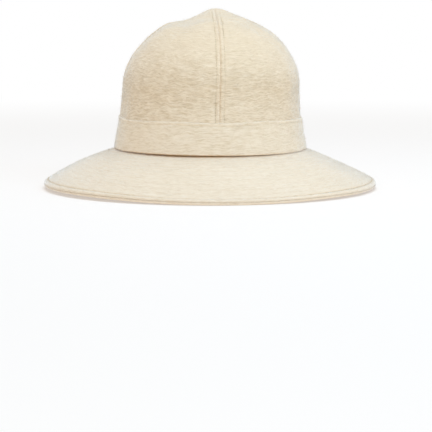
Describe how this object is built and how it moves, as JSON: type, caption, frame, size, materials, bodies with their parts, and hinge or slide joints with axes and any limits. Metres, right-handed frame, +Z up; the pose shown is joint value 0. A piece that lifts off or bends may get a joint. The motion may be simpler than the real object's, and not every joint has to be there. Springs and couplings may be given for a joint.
{
  "type": "felt hat",
  "caption": "Soft felt hat: deep sewn dome crown, band of the same felt, wide drooping brim of two stitched layers, and a dark ribbon sweatband round the open head hollow.",
  "frame": {"origin": "on the resting plane, under the middle of the hat", "axes": "+Z up through the top of the crown; -Y to the front of the hat; +X to the right of someone who looks at that front"},
  "size_m": [0.308, 0.3232, 0.1651],
  "materials": {
    "felt": "cream brushed wool felt, matte, with short lying hairs",
    "ribbon": "black ribbed ribbon, matte"
  },
  "bodies": {
    "root": {"crown_panel_front_left": "felt", "crown_panel_front_right": "felt", "crown_panel_back_left": "felt", "crown_panel_back_right": "felt", "band": "felt", "brim_upper": "felt", "brim_under": "felt", "sweatband": "ribbon"}
  },
  "joints": []
}
